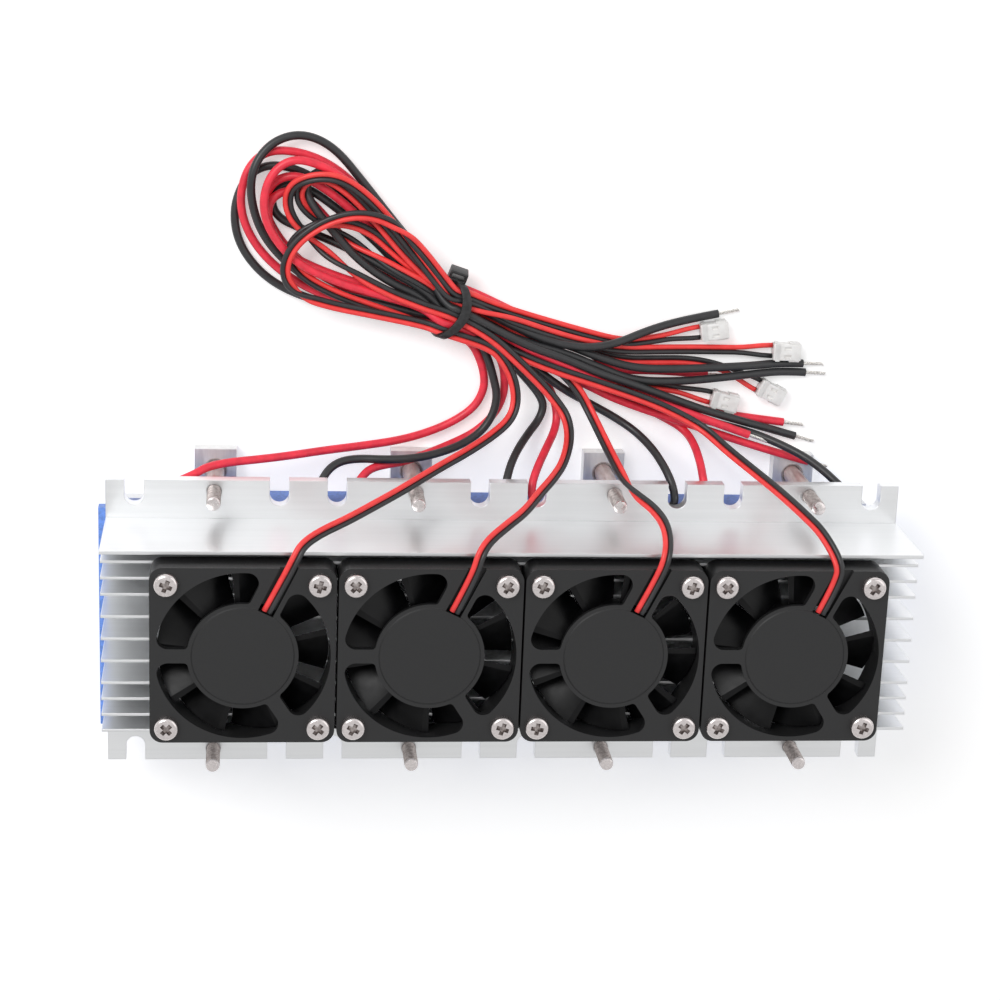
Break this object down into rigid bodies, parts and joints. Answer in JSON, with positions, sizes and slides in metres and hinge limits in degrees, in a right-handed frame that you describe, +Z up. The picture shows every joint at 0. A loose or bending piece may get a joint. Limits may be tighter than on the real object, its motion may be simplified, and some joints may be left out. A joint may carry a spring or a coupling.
{
  "type": "thermoelectric cooling module",
  "caption": "Thermoelectric cooling module with a cold plate, a finned heat sink, axial fans and loose leads.",
  "frame": {"origin": "middle of the cold plate's contact face", "axes": "+X along the row of fans, +Y across the module towards the side that the leads leave by, +Z up through the stack from the cold face to the fans"},
  "size_m": [0.2283, 0.1814, 0.0655],
  "materials": {
    "sink_aluminium": "satin extruded",
    "plate_aluminium": "milled",
    "block_aluminium": "milled",
    "ceramic_white": "fired ceramic",
    "foam_blue": "closed cell foam",
    "frame_plastic": "moulded",
    "blade_plastic": "moulded, glossy",
    "screw_steel": "nickel plated",
    "bearing_brass": "sintered",
    "board_green": "solder mask",
    "stator_copper": "enamelled copper on steel",
    "sleeve_nylon": "translucent nylon",
    "lead_red": "soft insulation",
    "lead_black": "soft insulation",
    "plug_white": "translucent nylon",
    "tie_nylon": "nylon",
    "tinned_copper": "tinned strands"
  },
  "bodies": {
    "module": {"heat_sink": "sink_aluminium", "cold_plate": "plate_aluminium", "cold_block_1": "block_aluminium", "cold_block_2": "block_aluminium", "cold_block_3": "block_aluminium", "cold_block_4": "block_aluminium", "thermoelectric_chip_1": "ceramic_white", "thermoelectric_chip_2": "ceramic_white", "thermoelectric_chip_3": "ceramic_white", "thermoelectric_chip_4": "ceramic_white", "foam_gasket": "foam_blue", "foam_block": "foam_blue", "clamp_bolts": "screw_steel", "bolt_sleeves": "sleeve_nylon", "fan_screws": "screw_steel", "fan_frame_1": "frame_plastic", "fan_bearing_1": "bearing_brass", "fan_stator_1": "stator_copper", "fan_board_1": "board_green", "fan_frame_2": "frame_plastic", "fan_bearing_2": "bearing_brass", "fan_stator_2": "stator_copper", "fan_board_2": "board_green", "fan_frame_3": "frame_plastic", "fan_bearing_3": "bearing_brass", "fan_stator_3": "stator_copper", "fan_board_3": "board_green", "fan_frame_4": "frame_plastic", "fan_bearing_4": "bearing_brass", "fan_stator_4": "stator_copper", "fan_board_4": "board_green", "chip_lead_red_1": "lead_red", "chip_lead_black_1": "lead_black", "chip_lead_red_2": "lead_red", "chip_lead_black_2": "lead_black", "chip_lead_red_3": "lead_red", "chip_lead_black_3": "lead_black", "chip_lead_red_4": "lead_red", "chip_lead_black_4": "lead_black", "fan_lead_1": "lead_black", "fan_lead_2": "lead_black", "fan_lead_3": "lead_black", "fan_lead_4": "lead_black", "lead_bundle": "lead_black", "cable_tie": "tie_nylon", "fan_plug_1": "plug_white", "fan_plug_2": "plug_white", "fan_plug_3": "plug_white", "fan_plug_4": "plug_white", "stripped_ends": "tinned_copper"},
    "rotor_1": {"fan_impeller_1": "blade_plastic", "fan_shaft_1": "screw_steel"},
    "rotor_2": {"fan_impeller_2": "blade_plastic", "fan_shaft_2": "screw_steel"},
    "rotor_3": {"fan_impeller_3": "blade_plastic", "fan_shaft_3": "screw_steel"},
    "rotor_4": {"fan_impeller_4": "blade_plastic", "fan_shaft_4": "screw_steel"}
  },
  "joints": [
    {"name": "rotor_1_spin", "type": "hinge", "parent": "module", "child": "rotor_1", "pos_m": [-0.0745, 0.0031, 0.0572], "axis": [0, 0, 1], "continuous": true},
    {"name": "rotor_2_spin", "type": "hinge", "parent": "module", "child": "rotor_2", "pos_m": [-0.0239, 0.0031, 0.0572], "axis": [0, 0, 1], "continuous": true},
    {"name": "rotor_3_spin", "type": "hinge", "parent": "module", "child": "rotor_3", "pos_m": [0.0267, 0.0031, 0.0572], "axis": [0, 0, 1], "continuous": true},
    {"name": "rotor_4_spin", "type": "hinge", "parent": "module", "child": "rotor_4", "pos_m": [0.0773, 0.0031, 0.0572], "axis": [0, 0, 1], "continuous": true}
  ]
}
